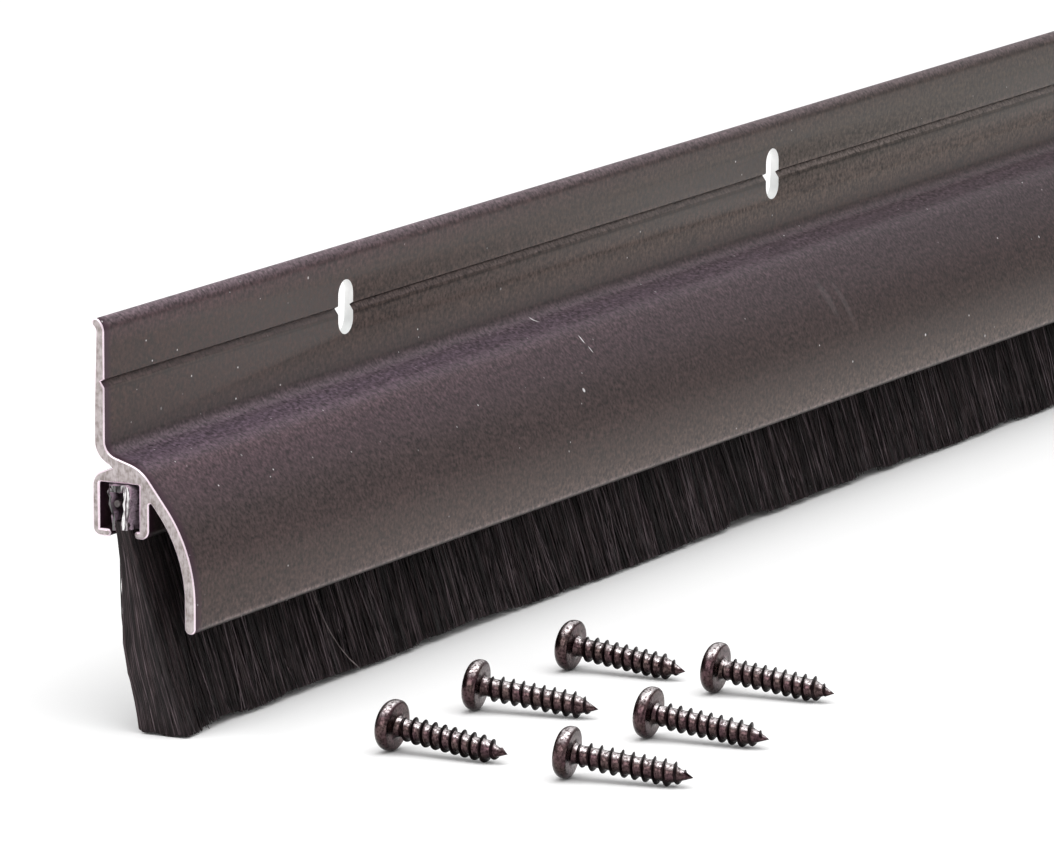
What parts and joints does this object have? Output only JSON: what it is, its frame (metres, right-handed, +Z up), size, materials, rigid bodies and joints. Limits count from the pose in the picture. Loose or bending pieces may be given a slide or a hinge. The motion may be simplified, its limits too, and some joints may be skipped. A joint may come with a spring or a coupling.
{
  "type": "door sweep",
  "caption": "Door bottom sweep: a bronze aluminium rail with slotted screw flange and curved drip skirt, a black strip brush in its channel, and loose pan head screws.",
  "frame": {"origin": "mount door_face: on the plane of the door's face, halfway along the rail, on the flat back of the brush channel and 19.3 mm below the line of the screw slots", "axes": "+X along the rail, +Y into the door, -Y to the weather side, +Z up"},
  "size_m": [0.9174, 0.1004, 0.0635],
  "materials": {
    "bronze_anodised": "satin",
    "zinc_steel": "satin",
    "wire_steel": "satin",
    "bristle": "matte",
    "bronze_screw": "gloss"
  },
  "bodies": {
    "rail": {"drip_cap_rail": "bronze_anodised"},
    "strip_brush": {"brush_backing": "zinc_steel", "core_wire": "wire_steel", "bristles": "bristle"},
    "screw_1_body": {"screw_1": "bronze_screw"},
    "screw_2_body": {"screw_2": "bronze_screw"},
    "screw_3_body": {"screw_3": "bronze_screw"},
    "screw_4_body": {"screw_4": "bronze_screw"},
    "screw_5_body": {"screw_5": "bronze_screw"},
    "screw_6_body": {"screw_6": "bronze_screw"}
  },
  "joints": [
    {"name": "brush_slide", "type": "slide", "parent": "rail", "child": "strip_brush", "axis": [1, 0, 0], "range_m": [0, 0.9144]},
    {"name": "screw_1_lift", "type": "slide", "parent": "rail", "child": "screw_1_body", "axis": [0, 0, 1], "range_m": [0, 0.05]},
    {"name": "screw_2_lift", "type": "slide", "parent": "rail", "child": "screw_2_body", "axis": [0, 0, 1], "range_m": [0, 0.05]},
    {"name": "screw_3_lift", "type": "slide", "parent": "rail", "child": "screw_3_body", "axis": [0, 0, 1], "range_m": [0, 0.05]},
    {"name": "screw_4_lift", "type": "slide", "parent": "rail", "child": "screw_4_body", "axis": [0, 0, 1], "range_m": [0, 0.05]},
    {"name": "screw_5_lift", "type": "slide", "parent": "rail", "child": "screw_5_body", "axis": [0, 0, 1], "range_m": [0, 0.05]},
    {"name": "screw_6_lift", "type": "slide", "parent": "rail", "child": "screw_6_body", "axis": [0, 0, 1], "range_m": [0, 0.05]}
  ]
}
